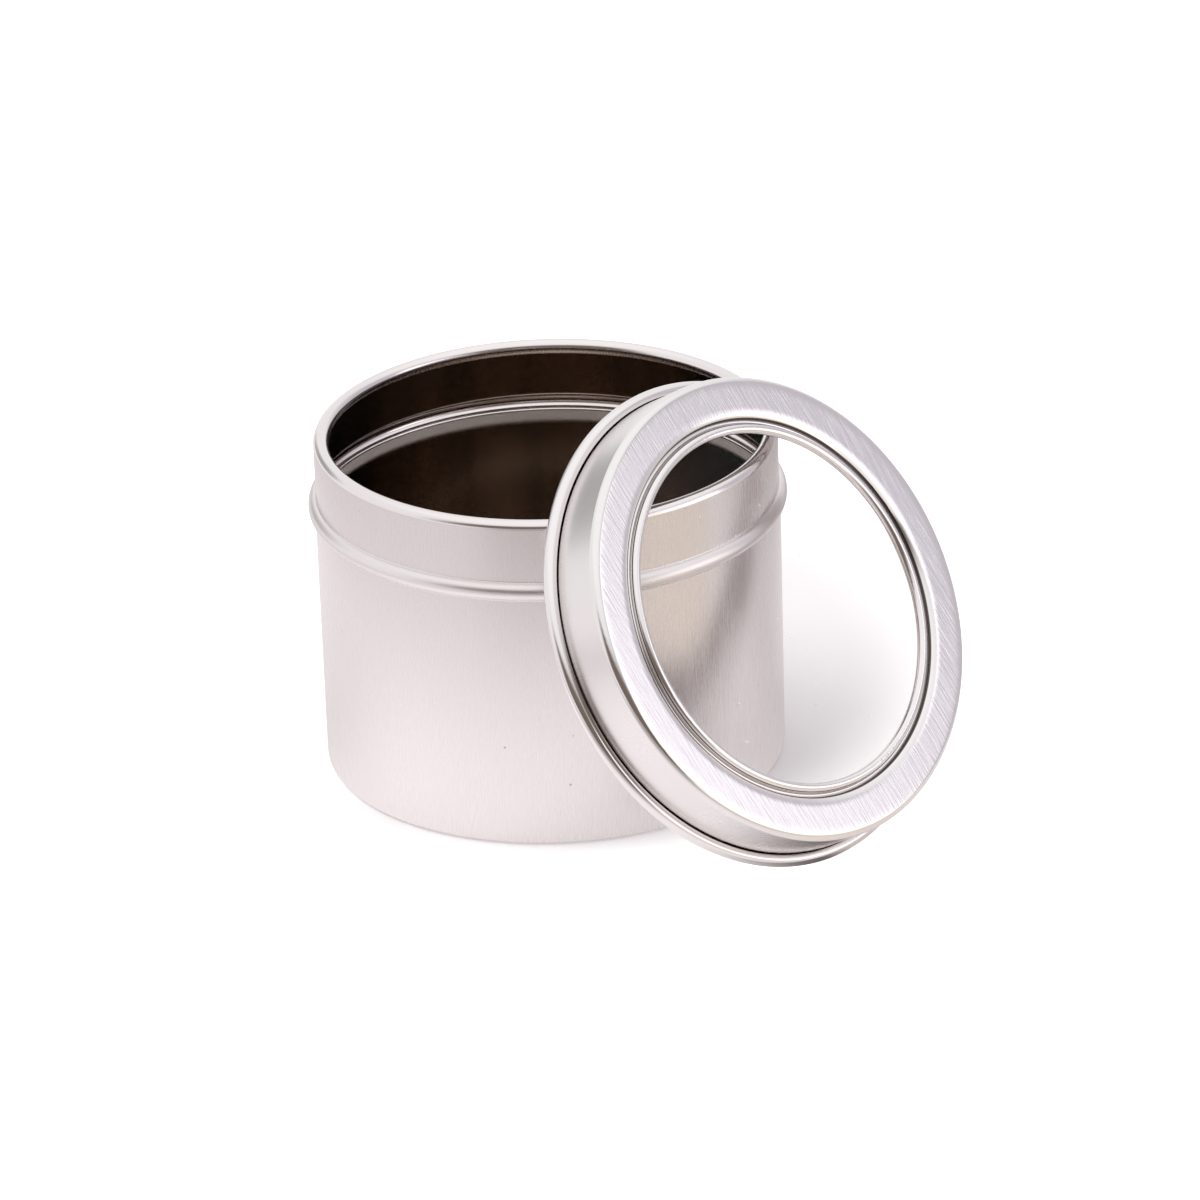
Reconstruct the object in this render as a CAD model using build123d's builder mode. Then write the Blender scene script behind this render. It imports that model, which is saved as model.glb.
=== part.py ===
"""A drawn round tin, with its window lid taken off and leant against the rim."""
import os
from math import cos, hypot, pi, radians, sin

from build123d import *

os.makedirs("parts", exist_ok=True)

# Lengths are in millimetres and angles in degrees. The origin is on the tin's axis, on the
# surface that the tin stands on. The lid leans on the +X side of the tin, with its foot on
# the same surface and its open side towards the tin.

# Sheet that the tin, the lid and the retaining ring are pressed from
sheet = 0.25

# Tin body, measured on the outside of the sheet. The bead's depth is from the rim, and the
# base panel's inset from the wall.
body_radius = 38.0
body_height = 56.9
base_corner_radius = 0.95
base_panel_inset = 4.5
base_panel_recess = 0.6
base_step_run = 1.2
base_step_radius = 0.5
neck_inset = 0.2
bead_foot_depth = 13.3
bead_rise = 1.4
bead_stand_out = 1.1
bead_shoulder_rise = 1.45
bead_crease_radius = 0.15
rim_curl_radius = 1.25
rim_curl_turn = 290

# Lid, measured on the outside of the sheet
lid_clearance = 0.1
lid_seat_gap = 0.25
lid_curl_radius = 1.1
lid_curl_start = 125
lid_shoulder_radius = 1.2

# Opening in the lid, set in from the lid's outside: the face falls over a soft shoulder and
# a lip into a groove, and rises again to the roll around the opening
opening_inset = 9.35
roll_radius = 0.8
roll_depth = 0.66
roll_turn = 290
groove_radius = 0.35
lip_radius = 0.35
fall_radius = 3.0
fall_turn = 35

# Window and the ring that holds it in
window_thickness = 0.2
window_play = 0.04
window_margin = 0.4
ring_play = 0.05
ring_bend_radius = 0.3

# How the lid leans
lean_angle = 32.1
lean_clearance = 0.3
lean_steps = 720
lean_tolerance = 0.001

# Tin body, worked out. The profiles are drawn along the middle of the sheet.
half = sheet / 2
neck_radius = body_radius - neck_inset
base_panel_radius = body_radius - base_panel_inset
bead_foot_height = body_height - bead_foot_depth
bead_crest_radius = body_radius + bead_stand_out
bead_crest_height = bead_foot_height + bead_rise
bead_top_height = bead_crest_height + bead_shoulder_rise
rim_ring_radius = neck_radius - rim_curl_radius
rim_ring_height = body_height - rim_curl_radius

# Lid, worked out. The lid closes until its ring meets the rim, with its curl just over the bead.
lid_bore_radius = neck_radius + lid_clearance
lid_height = body_height - bead_top_height + 2 * sheet + lid_seat_gap
lid_ring_radius = lid_bore_radius + lid_curl_radius
opening_radius = lid_bore_radius + sheet - opening_inset
roll_outer_radius = opening_radius + 2 * roll_radius
fall_run = (fall_radius - half) * sin(radians(fall_turn))
fall_drop = (fall_radius - half) * (1 - cos(radians(fall_turn)))
lip_run = (lip_radius - half) * (1 - sin(radians(fall_turn)))
lip_drop = (lip_radius - half) * cos(radians(fall_turn))
face_bore_radius = roll_outer_radius + 2 * groove_radius + lip_run + fall_run
groove_depth = fall_drop + lip_drop + groove_radius + half

# Window and ring, worked out as depths below the lid's face
window_depth = max(roll_depth + roll_radius, groove_depth + sheet) + window_play
window_radius = face_bore_radius - window_margin
ring_outer_radius = lid_bore_radius + sheet - lid_shoulder_radius - ring_play
ring_seat_depth = window_depth + window_thickness
window_height = lid_height - ring_seat_depth

# The lid leans with its window against the rim and its edge curl just clear of it
lean_cos = cos(radians(lean_angle))
lean_sin = sin(radians(lean_angle))
lid_z = lid_curl_radius + lid_ring_radius * lean_cos - lid_curl_radius * lean_sin


def lid_offset(reach):
    """Distance of the lid's centre from the tin's axis, with the lid's foot at this reach."""
    return reach - lid_ring_radius * lean_sin - lid_curl_radius * lean_cos


def window_gap(reach):
    """Gap between the window and the rim, along the lid's axis."""
    across = (rim_ring_radius - lid_offset(reach)) * lean_cos
    along = (rim_ring_height - lid_z) * lean_sin
    return window_height - across - along - rim_curl_radius


def curl_gap(reach):
    """Least gap between the lid's edge curl and the rim, from points around the curl."""
    distances = []
    for step in range(lean_steps):
        turn = pi * step / lean_steps
        climb = lid_ring_radius * (1 - cos(turn))
        x = reach - climb * lean_sin
        y = lid_ring_radius * sin(turn)
        z = lid_curl_radius + climb * lean_cos
        over_rim = max(z - rim_ring_height, 0)
        distances.append(hypot(hypot(x, y) - rim_ring_radius, over_rim))
    return min(distances) - rim_curl_radius - lid_curl_radius


def lean_reach():
    """Distance from the tin's axis to the lid's foot, found by halving."""
    near = body_radius
    far = 2 * (body_radius + lid_ring_radius)
    while far - near > lean_tolerance:
        middle = (near + far) / 2
        if min(window_gap(middle), curl_gap(middle)) < lean_clearance:
            near = middle
        else:
            far = middle
    return far


# Lid's own frame: local X runs down its slope and local Y along its axis, from its open edge
lid_reach = lean_reach()
lid_x = lid_offset(lid_reach)
lid_plane = Plane(
    origin=(lid_x, 0, lid_z), x_dir=(lean_sin, 0, -lean_cos), z_dir=(0, -1, 0)
)
lid_axis = Axis((lid_x, 0, lid_z), (lean_cos, 0, lean_sin))
window_plane = Plane(
    origin=(lid_x + window_height * lean_cos, 0, lid_z + window_height * lean_sin),
    x_dir=(lean_sin, 0, -lean_cos),
    z_dir=(lean_cos, 0, lean_sin),
)

# Tin body: recessed base panel, wall, stop bead, neck and inward rim curl in one sheet
with BuildPart() as tin_body:
    with BuildSketch(Plane.XZ):
        with BuildLine() as body_path:
            wall = FilletPolyline(
                (0, base_panel_recess + half),
                (base_panel_radius, base_panel_recess + half),
                (base_panel_radius + base_step_run, half),
                (body_radius - half, half),
                (body_radius - half, bead_foot_height),
                radius=[base_step_radius, base_step_radius, base_corner_radius - half],
            )
            bead = ThreePointArc(
                wall @ 1,
                (bead_crest_radius - half, bead_crest_height),
                (neck_radius - half, bead_top_height),
            )
            neck = Line(bead @ 1, (neck_radius - half, rim_ring_height))
            for crease in (wall @ 1, bead @ 1):
                corner = body_path.vertices().sort_by_distance(crease)[0]
                fillet(corner, radius=bead_crease_radius + half)
            JernArc(neck @ 1, neck % 1, rim_curl_radius - half, rim_curl_turn)
        trace(line_width=sheet)
    revolve(axis=Axis.Z)

# Lid shell: edge curl, skirt, shoulder, face, groove and the roll around the opening
with BuildPart() as lid_shell:
    with BuildSketch(lid_plane):
        with BuildLine():
            edge_curl = CenterArc(
                (lid_ring_radius, lid_curl_radius),
                lid_curl_radius - half,
                lid_curl_start,
                -180 - lid_curl_start,
            )
            skirt_top = (lid_bore_radius + half, lid_height - lid_shoulder_radius)
            skirt = Line(edge_curl @ 1, skirt_top)
            shoulder = JernArc(skirt @ 1, skirt % 1, lid_shoulder_radius - half, 90)
            face = Line(shoulder @ 1, (face_bore_radius, lid_height - half))
            fall = JernArc(face @ 1, face % 1, fall_radius - half, fall_turn)
            lip = JernArc(fall @ 1, fall % 1, lip_radius - half, 90 - fall_turn)
            groove = JernArc(lip @ 1, lip % 1, groove_radius + half, -180)
            rise_top = (roll_outer_radius - half, lid_height - roll_depth)
            rise = Line(groove @ 1, rise_top)
            JernArc(rise @ 1, rise % 1, roll_radius - half, roll_turn)
        trace(line_width=sheet)
    revolve(axis=lid_axis)

# Window: a clear disc under the roll
with BuildPart() as window_disc:
    with BuildSketch(window_plane):
        Circle(window_radius)
    extrude(amount=window_thickness)

# Retaining ring: lies under the lid's face and steps down to carry the window's edge
with BuildPart() as retaining_ring:
    with BuildSketch(lid_plane):
        with BuildLine():
            FilletPolyline(
                (ring_outer_radius, lid_height - sheet - half),
                (face_bore_radius + half, lid_height - sheet - half),
                (face_bore_radius + half, lid_height - ring_seat_depth - half),
                (roll_outer_radius, lid_height - ring_seat_depth - half),
                radius=ring_bend_radius,
            )
        trace(line_width=sheet)
    revolve(axis=lid_axis)

tin_body.part.label = "tin_body"
lid_shell.part.label = "lid_shell"
window_disc.part.label = "window_disc"
retaining_ring.part.label = "retaining_ring"
export_step(tin_body.part, "parts/tin_body.step")
export_step(lid_shell.part, "parts/lid_shell.step")
export_step(window_disc.part, "parts/window_disc.step")
export_step(retaining_ring.part, "parts/retaining_ring.step")

print("lid foot reach", round(lid_reach, 3), "lid centre", round(lid_x, 3), round(lid_z, 3))
print("gaps at the rim", round(window_gap(lid_reach), 3), round(curl_gap(lid_reach), 3))
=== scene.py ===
"""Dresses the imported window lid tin: brushed tinplate, clear window, white studio."""
import math

import bpy
from bpy.props import FloatProperty, FloatVectorProperty, IntProperty, PointerProperty
from bpy.types import Operator, Panel, PropertyGroup
from mathutils import Matrix, Vector


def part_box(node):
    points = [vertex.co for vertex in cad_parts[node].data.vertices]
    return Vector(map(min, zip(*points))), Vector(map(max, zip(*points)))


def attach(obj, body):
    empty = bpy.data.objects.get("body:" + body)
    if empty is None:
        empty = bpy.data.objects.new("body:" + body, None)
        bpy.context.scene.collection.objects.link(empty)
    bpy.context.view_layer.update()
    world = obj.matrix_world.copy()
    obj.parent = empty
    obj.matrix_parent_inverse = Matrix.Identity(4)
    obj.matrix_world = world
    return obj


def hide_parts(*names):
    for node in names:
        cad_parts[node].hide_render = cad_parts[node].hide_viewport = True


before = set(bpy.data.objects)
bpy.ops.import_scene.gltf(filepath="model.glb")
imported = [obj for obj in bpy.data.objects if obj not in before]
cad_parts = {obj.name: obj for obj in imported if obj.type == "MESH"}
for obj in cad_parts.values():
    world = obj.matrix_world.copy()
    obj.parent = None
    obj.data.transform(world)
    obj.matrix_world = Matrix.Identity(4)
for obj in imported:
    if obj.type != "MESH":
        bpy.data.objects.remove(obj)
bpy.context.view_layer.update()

bl_info = {
    "name": "Window lid tin",
    "version": (1, 0, 0),
    "blender": (4, 5, 0),
    "location": "3D View > Sidebar > Tin",
    "description": "A drawn round tin with its window lid leaning against it",
    "category": "Object",
}

# Lengths are in metres and angles in radians, apart from the lens and sensor in millimetres.
# A pair of numbers is a soft step: where it begins and where it ends.

# Fineness of the turned meshes: how far a bend, a wide arc and a curl turn between two points
# of the section, how far from each end of a straight run its first and last rows stand, how
# many steps round off the sheet's edge, and the least cosine that a corner is mitred with
QUARTER = math.pi / 2
ARC_STEP = math.radians(6)
WIDE_ARC_STEP = math.radians(4)
CURL_STEP = WIDE_ARC_STEP * 2
ROW_MARGIN = 0.00012
CAP_STEPS = 4
LEAST_MITRE = 0.5
HUB_RADIUS = 0.001
WELD_DISTANCE = 0.000001

# Photograph: where the camera stood, how it was held, what it was aimed at, and its long lens
VIEW_TURN = math.radians(42.7)
VIEW_RISE = 0.440981
VIEW_ROLL = -0.032254
VIEW_DISTANCE = 1.015198
VIEW_AIM_ACROSS = 0.0079936
VIEW_AIM_HEIGHT = 0.025451
VIEW_LENS = 185.035
SENSOR_WIDTH = 36
CLIP_START = 0.01
CLIP_END = 20

# All tinplate: what its grain, its soft patches, its specks and a bend in it change
WHITE = (1, 1, 1, 1)
LEVEL = (1, 1, 0)
GRAIN_DARK = 0.93
GRAIN_LIGHT = 1.04
GRAIN_ROUGHNESS = 0.12
PATCH_TONE = 0.25
PATCH_ROUGHNESS = 0.05
BEND_GRAIN = 0.7
BEND_GLOSS = 0.6
SPECK_SCALE = 160.0
SPECK_EDGE = (0.02, 0.045)
SPECK_SHARE = 0.5
SPECK_TONE = (0.12, 0.1, 0.09, 1)

# The tin: size of its marks along X, Y and Z, and how strong they are
SATIN_MARKS = (0.00022, 0.00022, 0.045)
BROAD_MARKS = (0.0011, 0.0011, 0.04)
STAIN_MARKS = (0.005, 0.005, 0.08)
PATCH_MARKS = (0.017, 0.017, 0.04)
SATIN_SHARE = 0.8
WALL_GRAIN = 0.35
WALL_RELIEF = 0.000003
STAIN_START = (0.002, 0.008)

# The bead, the rim curl and the band inside under the bead, rougher and lighter with painted
# sheen, from the bead's foot, its top or the middle of the curl, and how rough they are
BEAD_RISE = (-0.0002, 0)
BEAD_FALL = (0, 0.0002)
BEAD_BEND = 0.4
BEAD_ROUGHNESS = 0.14
CURL_RISE = (-0.0003, 0.0001)
CURL_ROUGHNESS = 0.07
SHEEN_BAND_RISE = (-0.0027, -0.0015)
SHEEN_BAND_FALL = (-0.0003, -0.0001)
SHEEN_BAND_ROUGHNESS = 0.55
SHEEN_BAND_TONE = (0.97, 0.91, 0.89, 1)

# The tin's inside: how far a face looks in or up there, and where the panel and wall end
LOOKS_IN = (-0.6, -0.2)
LOOKS_UP = (0.5, 0.9)
PANEL_END = (0.005, 0.01)
INSIDE_END = (-0.0003, 0.0003)
INSIDE_ROUGHNESS = 0.15

# The lid: size of its marks along its own X, Y and Z, and how strong they are
BRUSH_MARKS = (0.0045, 0.0003, 0.0045)
WIDE_BRUSH_MARKS = (0.014, 0.0008, 0.014)
SKIRT_MARKS = (0.0002, 0.0002, 0.014)
BRUSH_TURN = math.radians(9)
BRUSH_SHARE = 0.65
SKIRT_SHARE = 0.14
LID_GRAIN = 1.9
LID_RELIEF = 0.00005
LID_PATCH_SCALE = 90.0

# The lid's flat face, its skirt and the painted shade in its groove, from the face, the face's
# bore, the corner, the edge curl and the roll
FACE_RISE = (-0.0011, -0.0003)
FACE_START = (-0.0014, -0.0002)
FACE_END = (-0.0014, 0.0004)
SKIRT_RISE = (0, 0.0004)
SKIRT_FALL = (-0.0014, -0.001)
SKIRT_START = (0, 0.0004)
GROOVE_SHADE_START = (0.0004, 0.0006)
GROOVE_SHADE_END = (0.0008, 0.0009)
GROOVE_SHADE_RISE = (0.004, 0.006)
GROOVE_SHADE_TONE = (0.1, 0.085, 0.075, 1)

# The window: its specks, and its scratches in patches
DUST_SCALE = 420.0
DUST_EDGE = (0.05, 0.14)
DUST_HAZE = 0.45
DUST_CHOICE_SCALE = 260.0
DUST_CHOICE = (0.56, 0.62)
SCRATCH_MARKS = (0.011, 0.0003, 0.011)
SCRATCH_TURN = (0, 0, 0.7)
SCRATCH_EDGE = (0.74, 0.8)
SCRATCH_HAZE = 0.12
SCRATCH_PATCH_SCALE = 70.0
SCRATCH_PATCH_EDGE = (0.5, 0.7)
FILM_ROUGHNESS = 0.05
FILM_IOR = 1.49

# The studio from the camera's side: right, away and up
RIGHT = (1, 0, 0)
NEARER = (0, -1, 0)

# Lamps: place, aim, width, height, radiance, and whether metal mirrors them
LAMPS = {
    "left_softbox": ((-0.8, 0.25, 0.9), (0, 0, 0.03), 0.8, 0.8, 1.9, False),
    "right_card": ((0.33, -0.235, 0.115), (0, -0.235, 0.115), 0.43, 0.23, 0.82, True),
}

# The floor's shade in what metal mirrors: a ring around the object, a patch in front, a patch
# under the lid and one behind the object. AWAY is from the tin's axis, NEAR towards the
# camera, BESIDE to the right, SIDE their direction, 1 straight towards the camera, and FOOT,
# INWARD and ACROSS are from the lid's foot.
FLOOR_REACH = 3.0
FLOOR_DROP = 0.00002
RING_AWAY = ((0.1, 0.15), (0.18, 0.26))
RING_SHADE = 0.28
FRONT_NEAR = (0.09, 0.26)
FRONT_SIDE = (0.78, 0.97)
FRONT_SHADE = 0.6
UNDER_FOOT = (0.004, 0.034)
UNDER_INWARD = (-0.004, 0)
UNDER_ACROSS = (-0.006, 0.002)
UNDER_SHADE = 0.7
LEE_BESIDE = (0.03, 0.09)
LEE_SIDE = (-0.3, 0.2)
LEE_SHADE = 0.3
SHADE_TONE = (0.1, 0.08, 0.07, 1)

# Painted warm light on the floor at the right, hidden from the camera, and the floor's glow in
# what metal mirrors
WARM_BESIDE = (0.03, 0.07)
WARM_NEAR = (0.02, 0.05)
WARM_LIGHT_TONE = (0.77, 0.7, 0.62, 1)
WARM_LOSS = 0.3
CLOSE_AWAY = (0.04, 0.12)
CLOSE_SIDE = (-0.3, 0.7)
CLOSE_GLOW = 0.3
MIRROR_GLOW = 0.08

# The floor's glow for the camera, which leaves the shadows beside the object
CLEAR_NEAR_SHARE = 0.5
CLEAR_AWAY = (0.042, 0.085)
CLEAR_RIGHT = (0.065, 0.085)
CLEAR_LEFT = (-0.052, -0.026)
CLEAR_GLOW = 0.9
FAR_AWAY = (0.07, 0.12)
FAR_GLOW = 0.07
EYE_GLOW = 0.1

# The room that metal mirrors: its level, lighter overhead, darker and lilac at the right,
# dark low on the camera's side, and a dark gap behind on the left
ROOM_LEVEL = 1.02
OVERHEAD = (0.6, 0.9)
OVERHEAD_GAIN = 0.12
LOW = (0.46, 0.66)
ROOM_NEAR = (0.4, 0.8)
ROOM_DARK = (0.2, 0.16, 0.135, 1)
ROOM_RIGHT = (0.3, 0.9)
RIGHT_LOSS = 0.35
LILAC = (0.96, 0.93, 1, 1)
GAP_WAY = (-0.66, 0.74, 0.13)
GAP_EDGE = (0.92, 0.99)
GAP_LOSS = 0.59


def length(name, text, default):
    """A size that can be typed in."""
    return FloatProperty(name=name, description=text, default=default, unit="LENGTH", precision=5)


def angle(name, text, degrees):
    """An angle that can be typed in."""
    return FloatProperty(
        name=name, description=text, default=math.radians(degrees), subtype="ANGLE"
    )


def share(name, text, default):
    """A share between 0 and 1 that can be typed in."""
    return FloatProperty(
        name=name, description=text, default=default, min=0, max=1, subtype="FACTOR"
    )


def colour(name, text, default):
    """A colour that can be picked."""
    return FloatVectorProperty(
        name=name, description=text, default=default, size=3, min=0, max=1, subtype="COLOR"
    )


class TinSizes(PropertyGroup):
    """Sizes of the tin, on the outside of its sheet."""

    sheet: length("Sheet", "Thickness of the tinplate", 0.00025)
    radius: length("Radius", "Radius of the body", 0.038)
    height: length("Height", "Height of the tin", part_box("tin_body")[1].z)
    corner: length("Corner", "Radius at the foot of the wall", 0.00095)
    panel_inset: length("Panel inset", "Distance of the base panel from the wall", 0.0045)
    panel_recess: length("Panel recess", "Height of the base panel", 0.0006)
    step_run: length("Step run", "Width of the step around the base panel", 0.0012)
    step_radius: length("Step radius", "Radius of the step's bends", 0.0005)
    neck_inset: length("Neck inset", "How far the neck is set in from the body", 0.0002)
    bead_depth: length("Bead depth", "Distance of the bead's foot from the rim", 0.0133)
    bead_rise: length("Bead rise", "Height of the bead's crest over its foot", 0.0014)
    bead_shoulder: length("Bead shoulder", "Height of the bead over its crest", 0.00145)
    bead_stand_out: length("Bead stand-out", "How far the bead stands out", 0.0011)
    crease: length("Crease", "Outside radius of the creases beside the bead", 0.00015)
    curl: length("Rim curl", "Radius of the rim curl", 0.00125)
    curl_turn: angle("Rim curl turn", "How far the rim is curled", 290)


class LidSizes(PropertyGroup):
    """Sizes of the lid, on the outside of its sheet, and how it leans."""

    lean: angle("Lean", "Angle of the lid's axis over the ground", 32.1)
    clearance: length("Clearance", "Gap between the lid and the tin's neck", 0.0001)
    height: length("Height", "Height of the lid", 0.0112)
    curl: length("Edge curl", "Radius of the edge curl", 0.0011)
    curl_start: angle("Edge curl start", "Where the edge curl begins", 125)
    shoulder: length("Shoulder", "Radius of the lid's shoulder", 0.0012)
    opening_inset: length("Opening inset", "Distance of the opening from the skirt", 0.00935)
    roll: length("Roll", "Radius of the roll around the opening", 0.0008)
    roll_depth: length("Roll depth", "Depth of the roll's middle below the face", 0.00066)
    roll_turn: angle("Roll turn", "How far the roll is curled", 290)
    groove: length("Groove", "Inside radius of the groove", 0.00035)
    lip: length("Lip", "Radius of the lip over the groove", 0.00035)
    fall: length("Fall", "Radius of the face's soft inner shoulder", 0.003)
    fall_turn: angle("Fall turn", "How far the face falls there", 35)
    window_depth: length("Window depth", "Depth of the window's outside below the face", 0.0015)
    window: length("Window", "Thickness of the window", 0.0002)
    ring_play: length("Ring play", "Gap between the ring and the shoulder", 0.00005)
    ring_bend: length("Ring bend", "Radius of the ring's bends", 0.0003)


class Finish(PropertyGroup):
    """Colours and grain of the finished tin."""

    facets: IntProperty(
        name="Facets", description="Facets around each turned piece", default=256, min=48
    )
    plate: colour("Plate", "Colour of the tinplate", (0.80, 0.752, 0.75))
    skirt: colour("Skirt", "Colour of the lid's skirt and rolls", (0.81, 0.775, 0.772))
    face: colour("Face", "Colour of the lid's brushed face", (0.79, 0.752, 0.775))
    # Inside and Inside of the neck: a warm brown tint darkened by painted shade, lighter over the
    # bead
    inside: colour("Inside", "Colour of the tin's inside", (0.40, 0.335, 0.285))
    neck: colour("Inside of the neck", "Colour of the inside over the bead", (0.60, 0.49, 0.41))
    roughness: share("Plate roughness", "Roughness of the tinplate", 0.27)
    film: colour("Film", "Colour of the window", (0.85, 0.86, 0.87))
    haze: share("Haze", "How much light the window's film holds back", 0.008)
    floor: colour("Floor", "Colour of the studio's floor", (0.80, 0.768, 0.78))


# Shader and geometry trees


class Wire:
    """An output in a node tree. Sums and products of wires add Math nodes to the tree."""

    def __init__(self, plan, socket):
        self.plan = plan
        self.socket = socket

    def __add__(self, other):
        return self.plan.sums("ADD", self, other)

    __radd__ = __add__

    def __sub__(self, other):
        return self.plan.sums("SUBTRACT", self, other)

    def __rsub__(self, other):
        return self.plan.sums("SUBTRACT", other, self)

    def __mul__(self, other):
        return self.plan.sums("MULTIPLY", self, other)

    __rmul__ = __mul__

    def __truediv__(self, other):
        return self.plan.sums("DIVIDE", self, other)

    def __rtruediv__(self, other):
        return self.plan.sums("DIVIDE", other, self)


class Plan:
    """A node tree that is being drawn up."""

    def __init__(self, tree):
        self.tree = tree

    def node(self, kind, settings=None, values=None):
        """Adds a node of this kind, with its settings first and then its sockets."""
        made = self.tree.nodes.new(kind)
        for name, setting in (settings or {}).items():
            setattr(made, name, setting)
        for name, value in (values or {}).items():
            if isinstance(value, Wire):
                self.tree.links.new(value.socket, made.inputs[name])
            else:
                made.inputs[name].default_value = value
        return made

    def wire(self, kind, settings=None, values=None, out=0):
        """Adds a node and gives one of its outputs."""
        return Wire(self, self.node(kind, settings, values).outputs[out])

    def sums(self, operation, first, second):
        """A Math node."""
        return self.wire("ShaderNodeMath", {"operation": operation}, {0: first, 1: second})

    def vector(self, operation, first, second=(0, 0, 0), out="Vector"):
        """A Vector Math node."""
        return self.wire(
            "ShaderNodeVectorMath", {"operation": operation}, {0: first, 1: second}, out
        )

    def parts(self, place):
        """X, Y and Z of a place or direction."""
        split = self.node("ShaderNodeSeparateXYZ", None, {"Vector": place})
        return [Wire(self, output) for output in split.outputs]

    def along(self, place, way):
        """How far a place or direction reaches along this way."""
        return self.vector("DOT_PRODUCT", place, way, "Value")

    def clamped(self, value):
        """A value held between 0 and 1."""
        return self.wire("ShaderNodeClamp", None, {"Value": value})

    def smooth(self, value, low, high):
        """0 below low, 1 above high and a soft step between."""
        return self.wire(
            "ShaderNodeMapRange",
            {"interpolation_type": "SMOOTHSTEP"},
            {"Value": value, "From Min": low, "From Max": high},
        )

    def between(self, value, rise, fall):
        """1 between two soft steps, and 0 outside."""
        return self.smooth(value, *rise) * (1 - self.smooth(value, *fall))

    def blend(self, mask, first, second):
        """Colour that goes from the first to the second with the mask."""
        return self.wire(
            "ShaderNodeMix", {"data_type": "RGBA"}, {0: mask, 6: first, 7: second}, out=2
        )

    def scaled(self, tint, amount):
        """A colour made darker or lighter by this amount."""
        return self.wire(
            "ShaderNodeVectorMath", {"operation": "SCALE"}, {0: tint, "Scale": amount}
        )

    def mapped(self, place, centre=(0, 0, 0), turn=(0, 0, 0), size=(1, 1, 1)):
        """Coordinates measured from this centre and turn, and divided by this size."""
        return self.wire(
            "ShaderNodeMapping",
            {"vector_type": "TEXTURE"},
            {"Vector": place, "Location": centre, "Rotation": turn, "Scale": size},
        )

    def noise(self, place, scale=1.0, detail=2.0, rough=0.5):
        """Noise of about 0 to 1 on these coordinates."""
        return self.wire(
            "ShaderNodeTexNoise",
            {"noise_dimensions": "3D"},
            {"Vector": place, "Scale": scale, "Detail": detail, "Roughness": rough},
        )

    def dots(self, place, scale):
        """Distance from the nearest of many scattered points."""
        return self.wire(
            "ShaderNodeTexVoronoi", {"feature": "F1"}, {"Vector": place, "Scale": scale}
        )


def new_material(name):
    """An empty material, its plan and the object coordinates in it."""
    material = bpy.data.materials.new(name)
    material.use_nodes = True
    material.node_tree.nodes.clear()
    plan = Plan(material.node_tree)
    place = plan.wire("ShaderNodeTexCoord", out="Object")
    return material, plan, place


def opaque(rgb):
    """A colour with its alpha."""
    return (*rgb, 1.0)


def from_here(here, step):
    """A soft step that is measured from here."""
    return [here + end for end in step]


def plate_surface(plan, finish, place, base, streaks, grain, patches, bent, relief):
    """Tone, roughness and bump of tinplate, with a few specks. It is smoother where bent."""
    marks = (streaks - 0.5) * (1 - bent * BEND_GRAIN)
    clouds = patches - 0.5
    shade = plan.clamped(0.5 + marks * grain + clouds * PATCH_TONE)
    tone = plan.blend(shade, plan.scaled(base, GRAIN_DARK), plan.scaled(base, GRAIN_LIGHT))
    specks = 1 - plan.smooth(plan.dots(place, SPECK_SCALE), *SPECK_EDGE)
    tone = plan.blend(specks * SPECK_SHARE, tone, SPECK_TONE)
    rough = finish.roughness * (1 - bent * BEND_GLOSS)
    rough = rough + marks * GRAIN_ROUGHNESS + clouds * PATCH_ROUGHNESS
    bump = plan.wire(
        "ShaderNodeBump", None, {"Strength": 1.0, "Distance": 1.0, "Height": marks * relief}
    )
    return tone, rough, bump


def metal(plan, tone, rough, bump):
    """Ends a tinplate material."""
    shader = plan.wire(
        "ShaderNodeBsdfPrincipled",
        None,
        {"Base Color": tone, "Metallic": 1.0, "Roughness": rough, "Normal": bump},
    )
    plan.node("ShaderNodeOutputMaterial", None, {"Surface": shader})


def inner_side(plan, place, height, sizes):
    """1 on the tin's inside below the rim curl, and 0 elsewhere."""
    facing = plan.wire("ShaderNodeNewGeometry", out="Normal")
    outward = plan.vector("NORMALIZE", plan.vector("MULTIPLY", place, LEVEL))
    wall = 1 - plan.smooth(plan.along(facing, outward), *LOOKS_IN)
    upward = plan.parts(facing)[2]
    panel = plan.smooth(upward, *LOOKS_UP) * (1 - plan.smooth(height, *PANEL_END))
    rim = sizes.height - 2 * sizes.curl
    return plan.clamped(wall + panel) * (1 - plan.smooth(height, *from_here(rim, INSIDE_END)))


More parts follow.
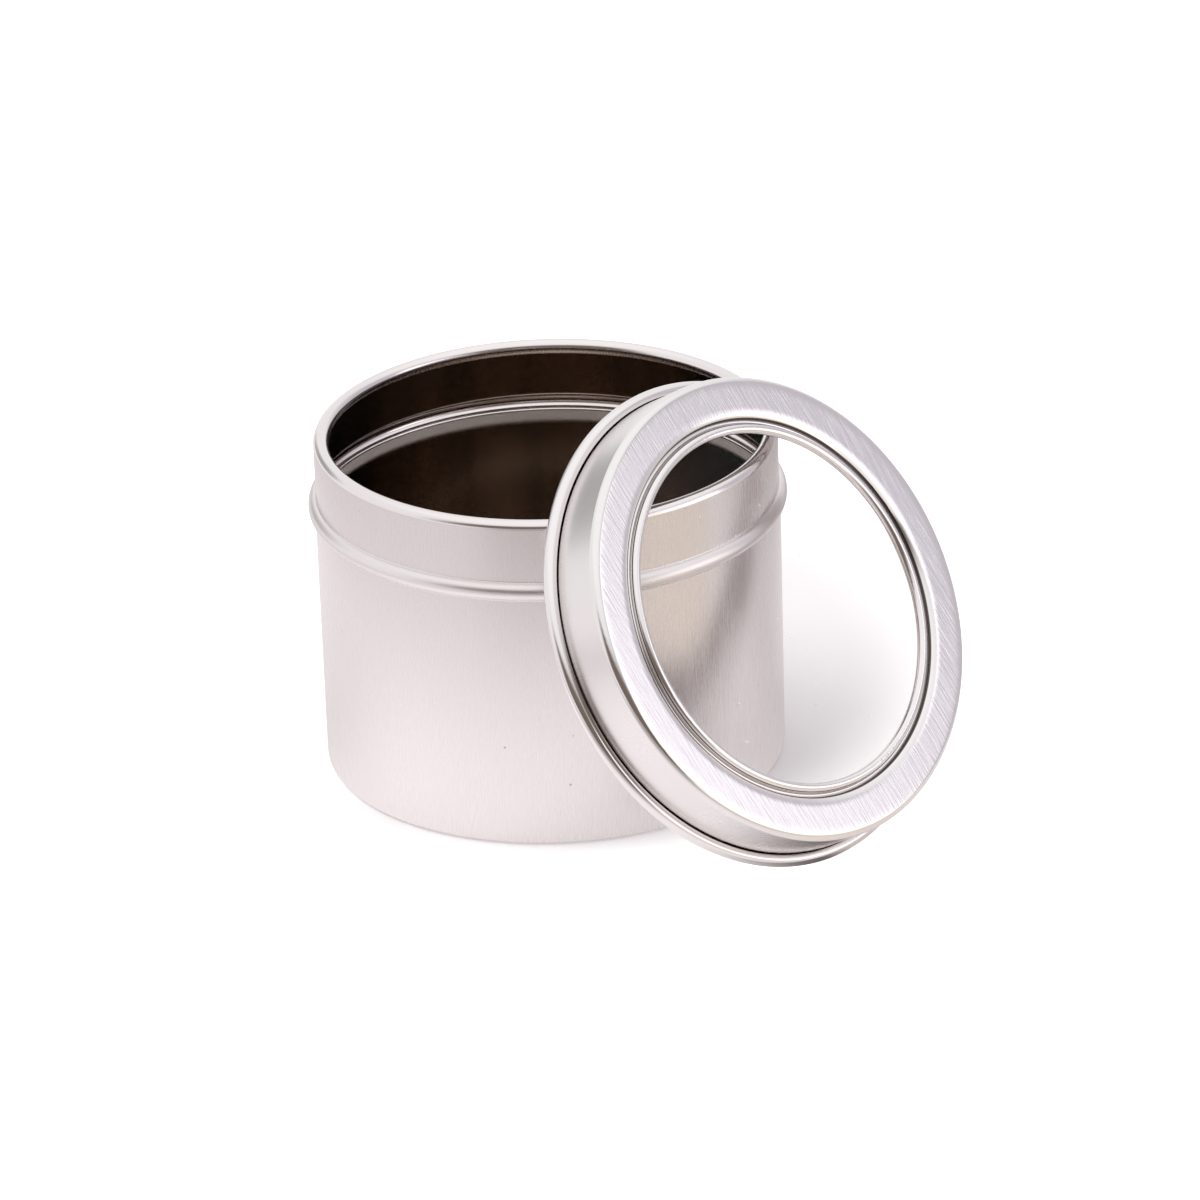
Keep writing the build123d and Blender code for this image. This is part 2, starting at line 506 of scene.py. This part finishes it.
def wall_plate(finish, sizes):
    """Tinplate of the drawn tin: a faint upright satin grain outside, and an inside darkened by
    painted shade.
    """
    material, plan, place = new_material("tinplate_drawn")
    fine = plan.noise(plan.mapped(place, size=SATIN_MARKS))
    broad = plan.noise(plan.mapped(place, size=BROAD_MARKS))
    stains = plan.noise(plan.mapped(place, size=STAIN_MARKS))
    patches = plan.noise(plan.mapped(place, size=PATCH_MARKS))
    height = plan.parts(place)[2]
    inside = inner_side(plan, place, height, sizes)
    streaks = fine * SATIN_SHARE + broad * (1 - SATIN_SHARE)
    streaks = streaks + (broad - streaks) * inside
    foot = sizes.height - sizes.bead_depth
    top = foot + sizes.bead_rise + sizes.bead_shoulder
    bead = plan.between(height, from_here(foot, BEAD_RISE), from_here(top, BEAD_FALL))
    curl = plan.smooth(height, *from_here(sizes.height - sizes.curl, CURL_RISE))
    tone, rough, bump = plate_surface(
        plan, finish, place, finish.plate, streaks, WALL_GRAIN, patches,
        curl + bead * BEAD_BEND, WALL_RELIEF,
    )
    # Painted sheen: a rougher band inside under the bead, given a lighter tone where a reflection
    # of light falls
    sheen_band = plan.between(height, from_here(foot, SHEEN_BAND_RISE), from_here(foot, SHEEN_BAND_FALL))
    sheen_band = sheen_band * inside
    # Painted highlight: over the bead and the sheen band the inside keeps the bright plate tone
    # instead of the darker inside
    painted_bright = plan.clamped(bead + sheen_band)
    # Painted shade: the inside takes the darker inside colours, lighter over the bead, instead of
    # the plate's tone
    shaded = plan.blend(plan.smooth(height, foot, top), opaque(finish.inside), opaque(finish.neck))
    shaded = plan.scaled(shaded, 1 + (stains - 0.5) * plan.smooth(height, *STAIN_START))
    tone = plan.blend(inside * (1 - painted_bright), tone, shaded)
    tone = plan.blend(sheen_band, tone, SHEEN_BAND_TONE)
    rough = rough + bead * BEAD_ROUGHNESS + curl * CURL_ROUGHNESS
    rough = rough + (INSIDE_ROUGHNESS - rough) * inside + sheen_band * SHEEN_BAND_ROUGHNESS
    metal(plan, tone, rough, bump)
    return material


def lid_plate(finish, centre, tilt, tin, lid):
    """Tinplate of the lid: straight brushed lines across its whole face, a calmer skirt."""
    material, plan, place = new_material("tinplate_lid")
    _, outside, roll_outer, face_bore = lid_radii(tin, lid)
    corner = outside - lid.shoulder
    own = plan.mapped(place, centre, tilt)
    lines = (0, 0, BRUSH_TURN)
    fine = plan.noise(plan.mapped(own, turn=lines, size=BRUSH_MARKS), detail=1.0)
    wide = plan.noise(plan.mapped(own, turn=lines, size=WIDE_BRUSH_MARKS), detail=1.0)
    upright = plan.noise(plan.mapped(own, size=SKIRT_MARKS), detail=3.0, rough=0.6)
    height = plan.parts(own)[2]
    reach = plan.vector("LENGTH", plan.vector("MULTIPLY", own, LEVEL), out="Value")
    high = plan.smooth(height, *from_here(lid.height, FACE_RISE))
    face = plan.between(reach, from_here(face_bore, FACE_START), from_here(corner, FACE_END))
    face = face * high
    wall = plan.between(
        height, from_here(2 * lid.curl, SKIRT_RISE), from_here(lid.height, SKIRT_FALL)
    )
    wall = wall * plan.smooth(reach, *from_here(corner, SKIRT_START))
    brushed = fine * BRUSH_SHARE + wide * (1 - BRUSH_SHARE)
    calm = 0.5 + (upright - 0.5) * SKIRT_SHARE
    streaks = calm + (brushed - calm) * high
    patches = plan.noise(own, LID_PATCH_SCALE)
    base = plan.blend(face, opaque(finish.skirt), opaque(finish.face))
    tone, rough, bump = plate_surface(
        plan, finish, place, base, streaks, LID_GRAIN, patches,
        1 - plan.clamped(face + wall), LID_RELIEF,
    )
    # Painted shade: a dark line in the groove around the roll, where it lies in shade
    groove = plan.between(
        reach, from_here(roll_outer, GROOVE_SHADE_START), from_here(roll_outer, GROOVE_SHADE_END)
    )
    tone = plan.blend(groove * plan.smooth(height, *GROOVE_SHADE_RISE), tone, GROOVE_SHADE_TONE)
    metal(plan, tone, rough, bump)
    return material


def film(finish, centre, tilt):
    """Clear film: nearly all see-through, with a faint haze, specks and fine scratches."""
    material, plan, place = new_material("clear_film")
    own = plan.mapped(place, centre, tilt)
    specks = 1 - plan.smooth(plan.dots(own, DUST_SCALE), *DUST_EDGE)
    specks = specks * plan.smooth(plan.noise(own, DUST_CHOICE_SCALE), *DUST_CHOICE)
    lines = plan.noise(plan.mapped(own, turn=SCRATCH_TURN, size=SCRATCH_MARKS))
    scratches = plan.smooth(lines, *SCRATCH_EDGE)
    patchy = plan.smooth(plan.noise(own, SCRATCH_PATCH_SCALE), *SCRATCH_PATCH_EDGE)
    haze = finish.haze + specks * DUST_HAZE + scratches * patchy * SCRATCH_HAZE
    shader = plan.wire(
        "ShaderNodeBsdfPrincipled",
        None,
        {
            "Base Color": plan.blend(specks, opaque(finish.film), WHITE),
            "Roughness": FILM_ROUGHNESS,
            "IOR": FILM_IOR,
            "Alpha": plan.clamped(haze),
        },
    )
    plan.node("ShaderNodeOutputMaterial", None, {"Surface": shader})
    return material


# Sections of the sheet


class Path:
    """A line drawn along the middle of a sheet, as straight runs and bends that flow on."""

    def __init__(self, start, heading):
        self.points = [Vector(start)]
        self.heading = heading

    def run(self, distance):
        """Straight on, with a row close to each end."""
        start = self.points[-1]
        way = Vector((math.cos(self.heading), math.sin(self.heading)))
        if distance > 3 * ROW_MARGIN:
            self.points.append(start + way * ROW_MARGIN)
            self.points.append(start + way * (distance - ROW_MARGIN))
        self.points.append(start + way * distance)

    def run_out(self, radius):
        """Straight on, until this far from the axis."""
        self.run((radius - self.points[-1].x) / math.cos(self.heading))

    def run_up(self, height):
        """Straight on, until this high."""
        self.run((height - self.points[-1].y) / math.sin(self.heading))

    def bend(self, radius, turn, step=ARC_STEP):
        """An arc, to the left where turn is positive."""
        side = math.copysign(1, turn)
        start = self.heading - side * QUARTER
        centre = self.points[-1] - radius * Vector((math.cos(start), math.sin(start)))
        steps = math.ceil(abs(turn) / step)
        for count in range(1, steps + 1):
            here = start + turn * count / steps
            self.points.append(centre + radius * Vector((math.cos(here), math.sin(here))))
        self.heading += turn


def through(first, second, third):
    """Centre and radius of the circle through three points."""
    a, b, c = Vector(first), Vector(second), Vector(third)
    ax, ay = b - a
    bx, by = c - a
    span = 2 * (ax * by - ay * bx)
    across = ax * ax + ay * ay
    up = bx * bx + by * by
    out = Vector(((by * across - ay * up) / span, (ax * up - bx * across) / span))
    return a + out, out.length


def tin_path(sizes):
    """Middle of the tin's sheet: base panel, step, corner, wall, bead, neck and rim curl."""
    half = sizes.sheet / 2
    wall = sizes.radius - half
    neck = sizes.radius - sizes.neck_inset - half
    panel = sizes.radius - sizes.panel_inset
    fall = math.atan2(sizes.panel_recess, sizes.step_run)
    slope = math.hypot(sizes.panel_recess, sizes.step_run)
    taken = sizes.step_radius * math.tan(fall / 2)
    path = Path((0, sizes.panel_recess + half), 0)
    path.run_out(panel - taken)
    path.bend(sizes.step_radius, -fall)
    path.run(slope - 2 * taken)
    path.bend(sizes.step_radius, fall)
    path.run_out(sizes.radius - sizes.corner)
    path.bend(sizes.corner - half, QUARTER)

    foot = sizes.height - sizes.bead_depth
    crest = foot + sizes.bead_rise
    top = crest + sizes.bead_shoulder
    outermost = sizes.radius + sizes.bead_stand_out - half
    centre, bead = through((wall, foot), (outermost, crest), (neck, top))
    crease = sizes.crease + half
    reach = bead + crease
    lower = math.acos((wall + crease - centre.x) / reach)
    upper = math.acos((neck + crease - centre.x) / reach)
    path.run_up(centre.y - reach * math.sin(lower))
    path.bend(crease, -lower)
    path.bend(bead, lower + upper, WIDE_ARC_STEP)
    path.bend(crease, -upper)
    path.run_up(sizes.height - sizes.curl)
    path.bend(sizes.curl - half, sizes.curl_turn, CURL_STEP)
    return path


def lid_radii(tin, lid):
    """Radii of the lid: its bore, its skirt's outside, the roll's outside and the face's bore."""
    half = tin.sheet / 2
    bore = tin.radius - tin.neck_inset + lid.clearance
    outside = bore + tin.sheet
    roll_outer = outside - lid.opening_inset + 2 * lid.roll
    fall_run = (lid.fall - half) * math.sin(lid.fall_turn)
    lip_run = (lid.lip - half) * (1 - math.sin(lid.fall_turn))
    face_bore = roll_outer + 2 * lid.groove + lip_run + fall_run
    return bore, outside, roll_outer, face_bore


def lid_path(tin, lid):
    """Middle of the lid's sheet: edge curl, skirt, shoulder, face, groove and roll."""
    half = tin.sheet / 2
    bore, _, _, face_bore = lid_radii(tin, lid)
    ring = lid.curl - half
    start = (
        bore + lid.curl + ring * math.cos(lid.curl_start),
        lid.curl + ring * math.sin(lid.curl_start),
    )
    path = Path(start, lid.curl_start - QUARTER)
    path.bend(ring, -math.pi - lid.curl_start, CURL_STEP)
    path.run_up(lid.height - lid.shoulder)
    path.bend(lid.shoulder - half, QUARTER)
    path.run_out(face_bore)
    path.bend(lid.fall - half, lid.fall_turn, WIDE_ARC_STEP)
    path.bend(lid.lip - half, QUARTER - lid.fall_turn)
    path.bend(lid.groove + half, -math.pi, CURL_STEP)
    path.run_up(lid.height - lid.roll_depth)
    path.bend(lid.roll - half, lid.roll_turn, CURL_STEP)
    return path


def ring_path(tin, lid):
    """Middle of the retaining ring: flat under the face, and a step down under the window."""
    half = tin.sheet / 2
    _, outside, roll_outer, face_bore = lid_radii(tin, lid)
    seat = lid.height - lid.window_depth - lid.window - half
    outer = outside - lid.shoulder - lid.ring_play
    path = Path((outer, lid.height - tin.sheet - half), math.pi)
    path.run_out(face_bore + half + lid.ring_bend)
    path.bend(lid.ring_bend, QUARTER)
    path.run_up(seat + lid.ring_bend)
    path.bend(lid.ring_bend, -QUARTER)
    path.run_out(roll_outer)
    return path


def cap(point, side, forward):
    """Rounded edge of a sheet, from one side of it round to the other."""
    turns = [math.pi * count / CAP_STEPS for count in range(1, CAP_STEPS)]
    return [point + (side * math.cos(turn) + forward * math.sin(turn)) for turn in turns]


def outline(path, sheet):
    """Outline of a sheet around its middle line, with rounded ends, and whether it is closed."""
    points = path.points
    ways = [(after - before).normalized() for before, after in zip(points, points[1:])]
    sides = []
    for before, after in zip([ways[0]] + ways, ways + [ways[-1]]):
        middle = (before + after).normalized()
        reach = sheet / 2 / max(middle.dot(after), LEAST_MITRE)
        sides.append(Vector((middle.y, -middle.x)) * reach)
    right = [point + side for point, side in zip(points, sides)]
    left = [point - side for point, side in zip(points, sides)]
    end = cap(points[-1], sides[-1], ways[-1] * sheet / 2)
    if points[0].x == 0:
        return right + end + left[::-1], False
    start = cap(points[0], -sides[0], -ways[0] * sheet / 2)
    return right + end + left[::-1] + start, True


def lathe_tree():
    """Geometry Nodes that turn a section around an upright axis, then tilt and place it."""
    tree = bpy.data.node_groups.new("lathe", "GeometryNodeTree")
    tree.interface.new_socket("Geometry", in_out="OUTPUT", socket_type="NodeSocketGeometry")
    for name, kind in (
        ("Section", "NodeSocketObject"),
        ("Facets", "NodeSocketInt"),
        ("Hub", "NodeSocketFloat"),
        ("Weld", "NodeSocketFloat"),
        ("Centre", "NodeSocketVector"),
        ("Tilt", "NodeSocketVector"),
        ("Finish", "NodeSocketMaterial"),
    ):
        tree.interface.new_socket(name, in_out="INPUT", socket_type=kind)
    plan = Plan(tree)
    given = plan.node("NodeGroupInput")

    def size(name):
        return Wire(plan, given.outputs[name])

    circle = plan.wire(
        "GeometryNodeCurvePrimitiveCircle",
        {"mode": "RADIUS"},
        {"Resolution": size("Facets"), "Radius": size("Hub")},
    )
    upright = plan.wire("GeometryNodeSetCurveNormal", {"mode": "Z_UP"}, {"Curve": circle})
    section = plan.wire(
        "GeometryNodeObjectInfo", None, {"Object": size("Section")}, out="Geometry"
    )
    turned = plan.wire(
        "GeometryNodeCurveToMesh", None, {"Curve": upright, "Profile Curve": section}
    )
    welded = plan.wire(
        "GeometryNodeMergeByDistance", None, {"Geometry": turned, "Distance": size("Weld")}
    )
    outward = plan.wire("GeometryNodeFlipFaces", None, {"Mesh": welded})
    tilt = plan.wire("FunctionNodeEulerToRotation", None, {"Euler": size("Tilt")})
    placed = plan.wire(
        "GeometryNodeTransform",
        None,
        {"Geometry": outward, "Translation": size("Centre"), "Rotation": tilt},
    )
    shaded = plan.wire("GeometryNodeSetShadeSmooth", None, {"Geometry": placed})
    real = plan.wire("GeometryNodeRealizeInstances", None, {"Geometry": shaded})
    finished = plan.wire(
        "GeometryNodeSetMaterial", None, {"Geometry": real, "Material": size("Finish")}
    )
    plan.node("NodeGroupOutput", None, {"Geometry": finished})
    return tree


def link(thing):
    """Puts an object in the scene."""
    bpy.context.scene.collection.objects.link(thing)
    return thing


def turned_piece(name, path, sheet, facets, material, centre=(0, 0, 0), tilt=(0, 0, 0)):
    """A plain mesh piece, turned by the lathe tree from a sheet's path."""
    points, closed = outline(path, sheet)
    curve = bpy.data.curves.new(name + "_section", "CURVE")
    curve.dimensions = "3D"
    spline = curve.splines.new("POLY")
    spline.points.add(len(points) - 1)
    for knot, point in zip(spline.points, points):
        knot.co = (point.x - HUB_RADIUS, -point.y, 0, 1)
    spline.use_cyclic_u = closed
    section = link(bpy.data.objects.new(name + "_section", curve))
    tree = bpy.data.node_groups.get("lathe") or lathe_tree()
    piece = link(bpy.data.objects.new(name, bpy.data.meshes.new(name)))
    lathe = piece.modifiers.new("lathe", "NODES")
    lathe.node_group = tree
    given = {
        "Section": section,
        "Facets": facets,
        "Hub": HUB_RADIUS,
        "Weld": WELD_DISTANCE,
        "Centre": centre,
        "Tilt": tilt,
        "Finish": material,
    }
    for item in tree.interface.items_tree:
        if item.name in given:
            lathe[item.identifier] = given[item.name]
    piece.update_tag()
    graph = bpy.context.evaluated_depsgraph_get()
    mesh = bpy.data.meshes.new_from_object(piece.evaluated_get(graph))
    piece.modifiers.clear()
    piece.data = mesh
    mesh.name = name
    bpy.data.objects.remove(section)
    return piece


def lid_place(lid):
    """Centre of the lid's open edge, and the turn that lays its axis down."""
    low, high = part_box("window_disc")
    axis = Vector((math.cos(lid.lean), 0, math.sin(lid.lean)))
    middle = lid.height - lid.window_depth - lid.window / 2
    return (low + high) / 2 - axis * middle, (0, QUARTER - lid.lean, 0)


# Operators


class TIN_OT_body(Operator):
    """Turns the tin's body, with its bead and rim curl, in satin tinplate"""

    bl_idname = "tin.body"
    bl_label = "Tin body"

    def execute(self, context):
        sizes, finish = context.scene.tin_sizes, context.scene.tin_finish
        plate = wall_plate(finish, sizes)
        piece = turned_piece("tin_drawn", tin_path(sizes), sizes.sheet, finish.facets, plate)
        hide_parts("tin_body")
        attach(piece, "tin")
        return {"FINISHED"}


class TIN_OT_lid(Operator):
    """Turns the lid's shell and the ring inside it, in brushed tinplate"""

    bl_idname = "tin.lid"
    bl_label = "Lid"

    def execute(self, context):
        scene = context.scene
        tin, lid, finish = scene.tin_sizes, scene.lid_sizes, scene.tin_finish
        centre, tilt = lid_place(lid)
        plate = lid_plate(finish, centre, tilt, tin, lid)
        for name, path, node in (
            ("lid_pressed", lid_path(tin, lid), "lid_shell"),
            ("window_ring", ring_path(tin, lid), "retaining_ring"),
        ):
            piece = turned_piece(name, path, tin.sheet, finish.facets, plate, centre, tilt)
            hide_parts(node)
            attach(piece, "lid")
        return {"FINISHED"}


class TIN_OT_window(Operator):
    """Gives the window its clear film"""

    bl_idname = "tin.window"
    bl_label = "Window"

    def execute(self, context):
        scene = context.scene
        centre, tilt = lid_place(scene.lid_sizes)
        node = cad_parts["window_disc"]
        node.data.materials.clear()
        node.data.materials.append(film(scene.tin_finish, centre, tilt))
        return {"FINISHED"}


def in_studio(x, y, z):
    """A place or direction in the studio, given as right, away and up from the camera."""
    return Matrix.Rotation(VIEW_TURN, 3, "Z") @ Vector((x, y, z))


def softbox(name, place, aim, width, height, radiance, mirrored):
    """A soft lamp of this radiance, turned to its aim, that metal may mirror or not."""
    lamp = bpy.data.lights.new(name, "AREA")
    lamp.shape = "RECTANGLE"
    lamp.size = width
    lamp.size_y = height
    lamp.energy = radiance * math.pi * width * height
    thing = link(bpy.data.objects.new(name, lamp))
    spot = in_studio(*place)
    thing.location = spot
    thing.rotation_euler = (in_studio(*aim) - spot).to_track_quat("-Z", "Y").to_euler()
    thing.visible_camera = False
    thing.visible_glossy = mirrored


def rays(plan, kind):
    """1 for this kind of ray, and 0 for the others."""
    return plan.wire("ShaderNodeLightPath", out=f"Is {kind} Ray")


def floor_material(finish, lid_foot):
    """Pale matt floor that reads as white, keeps the shadow, and is shaded for metal."""
    material, plan, place = new_material("studio_floor")
    eye = rays(plan, "Camera")
    shown = plan.clamped(eye + rays(plan, "Glossy") + rays(plan, "Transmission"))
    away = plan.vector("LENGTH", place, out="Value")
    near = plan.along(place, in_studio(*NEARER))
    beside = plan.along(place, in_studio(*RIGHT))
    side = near / away
    from_foot = plan.vector("DISTANCE", place, lid_foot, "Value")
    x, y, _ = plan.parts(place)
    ring = plan.between(away, *RING_AWAY)
    front = plan.smooth(near, *FRONT_NEAR) * plan.smooth(side, *FRONT_SIDE)
    under = 1 - plan.smooth(from_foot, *UNDER_FOOT)
    under = under * (1 - plan.smooth(x - lid_foot.x, *UNDER_INWARD))
    under = under * (1 - plan.smooth(y, *UNDER_ACROSS))
    lee = plan.smooth(beside, *LEE_BESIDE) * (1 - plan.smooth(side, *LEE_SIDE))
    shade = ring * RING_SHADE + front * FRONT_SHADE + under * UNDER_SHADE + lee * LEE_SHADE
    # Painted warm light: a warmer floor tone at the right that metal mirrors, hidden from the
    # camera
    warm = plan.smooth(beside, *WARM_BESIDE) * plan.smooth(near, *WARM_NEAR) * (1 - eye)
    tone = plan.blend(warm, opaque(finish.floor), WARM_LIGHT_TONE)
    tone = plan.blend(plan.clamped(shade * (1 - eye)), tone, SHADE_TONE)
    matt = plan.wire("ShaderNodeBsdfDiffuse", None, {"Color": tone})
    close = (1 - plan.smooth(away, *CLOSE_AWAY)) * plan.smooth(side, *CLOSE_SIDE)
    mirrored = (MIRROR_GLOW + close * CLOSE_GLOW) * (1 - under) * (1 - warm * WARM_LOSS)
    clear = plan.smooth(away + near * CLEAR_NEAR_SHARE, *CLEAR_AWAY)
    clear = clear + plan.smooth(beside, *CLEAR_RIGHT) + 1 - plan.smooth(beside, *CLEAR_LEFT)
    plain = EYE_GLOW + plan.smooth(away, *FAR_AWAY) * FAR_GLOW + plan.clamped(clear) * CLEAR_GLOW
    strength = (shown - eye) * mirrored + eye * plain
    glow = plan.wire("ShaderNodeEmission", None, {"Color": WHITE, "Strength": strength})
    both = plan.wire("ShaderNodeAddShader", None, {0: matt, 1: glow})
    plan.node("ShaderNodeOutputMaterial", None, {"Surface": both})
    return material


def studio_world():
    """White for the camera, and for all other rays a white room with a few darker parts."""
    world = bpy.data.worlds.new("studio")
    world.use_nodes = True
    world.node_tree.nodes.clear()
    plan = Plan(world.node_tree)
    way = plan.wire("ShaderNodeTexCoord", out="Generated")
    eye = rays(plan, "Camera")
    up = plan.parts(way)[2]
    near = plan.along(way, in_studio(*NEARER))
    beside = plan.along(way, in_studio(*RIGHT))
    gap = plan.smooth(plan.along(way, in_studio(*GAP_WAY)), *GAP_EDGE)
    low = 1 - plan.smooth(up, *LOW)
    dim = low * plan.smooth(near, *ROOM_NEAR) * (1 - eye)
    right = plan.smooth(beside, *ROOM_RIGHT) * low
    room = ROOM_LEVEL + plan.smooth(up, *OVERHEAD) * OVERHEAD_GAIN
    room = room - right * RIGHT_LOSS - gap * GAP_LOSS
    strength = room + (1 - room) * eye
    tone = plan.blend(right * (1 - eye), WHITE, LILAC)
    tone = plan.blend(dim, tone, ROOM_DARK)
    light = plan.wire("ShaderNodeBackground", None, {"Color": tone, "Strength": strength})
    plan.node("ShaderNodeOutputWorld", None, {"Surface": light})
    bpy.context.scene.world = world


def photo_camera():
    """The photograph's camera."""
    camera = bpy.data.cameras.new("camera")
    camera.sensor_width = SENSOR_WIDTH
    camera.lens = VIEW_LENS
    camera.clip_start = CLIP_START
    camera.clip_end = CLIP_END
    ahead = Vector((0, math.cos(VIEW_RISE), -math.sin(VIEW_RISE)))
    level = Vector(RIGHT)
    upward = level.cross(ahead)
    right = math.cos(VIEW_ROLL) * level + math.sin(VIEW_ROLL) * upward
    top = math.cos(VIEW_ROLL) * upward - math.sin(VIEW_ROLL) * level
    spot = Vector((VIEW_AIM_ACROSS, 0, VIEW_AIM_HEIGHT)) - ahead * VIEW_DISTANCE
    turn = Matrix((right, top, -ahead)).transposed()
    turn = Matrix.Rotation(VIEW_TURN, 3, "Z") @ turn
    thing = link(bpy.data.objects.new("camera", camera))
    thing.matrix_world = Matrix.Translation(in_studio(*spot)) @ turn.to_4x4()
    bpy.context.scene.camera = thing


class TIN_OT_studio(Operator):
    """Sets up the pale floor, the soft lamps and the photograph's camera"""

    bl_idname = "tin.studio"
    bl_label = "Studio"

    def execute(self, context):
        scene = context.scene
        mesh = bpy.data.meshes.new("studio_floor")
        corners = [(x * FLOOR_REACH, y * FLOOR_REACH, 0)
                   for x, y in ((-1, -1), (1, -1), (1, 1), (-1, 1))]
        mesh.from_pydata(corners, [], [(0, 1, 2, 3)])
        lid_foot = Vector((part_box("lid_shell")[1].x, 0, 0))
        mesh.materials.append(floor_material(scene.tin_finish, lid_foot))
        floor = link(bpy.data.objects.new("studio_floor", mesh))
        floor.location.z = -FLOOR_DROP
        for name, facts in LAMPS.items():
            softbox(name, *facts)
        studio_world()
        photo_camera()
        scene.view_settings.view_transform = "Standard"
        return {"FINISHED"}


class TIN_PT_panel(Panel):
    """Lists the tin's pieces and sizes"""

    bl_label = "Window lid tin"
    bl_idname = "TIN_PT_panel"
    bl_space_type = "VIEW_3D"
    bl_region_type = "UI"
    bl_category = "Tin"

    def draw(self, context):
        scene = context.scene
        for operator in STEPS:
            self.layout.operator(operator.bl_idname)
        for group in (scene.tin_sizes, scene.lid_sizes, scene.tin_finish):
            box = self.layout.box()
            for name in group.__annotations__:
                box.prop(group, name)


GROUPS = {"tin_sizes": TinSizes, "lid_sizes": LidSizes, "tin_finish": Finish}
STEPS = (TIN_OT_body, TIN_OT_lid, TIN_OT_window, TIN_OT_studio)


def register():
    for name, group in GROUPS.items():
        bpy.utils.register_class(group)
        setattr(bpy.types.Scene, name, PointerProperty(type=group))
    for made in (*STEPS, TIN_PT_panel):
        bpy.utils.register_class(made)


def unregister():
    for made in (TIN_PT_panel, *reversed(STEPS)):
        bpy.utils.unregister_class(made)
    for name, group in GROUPS.items():
        delattr(bpy.types.Scene, name)
        bpy.utils.unregister_class(group)


def main():
    """Makes every piece and the stage; the imported parts they replace stay in the scene, hidden.
    """
    register()
    bpy.ops.tin.body()
    bpy.ops.tin.lid()
    bpy.ops.tin.window()
    bpy.ops.tin.studio()


if __name__ == "__main__":
    main()
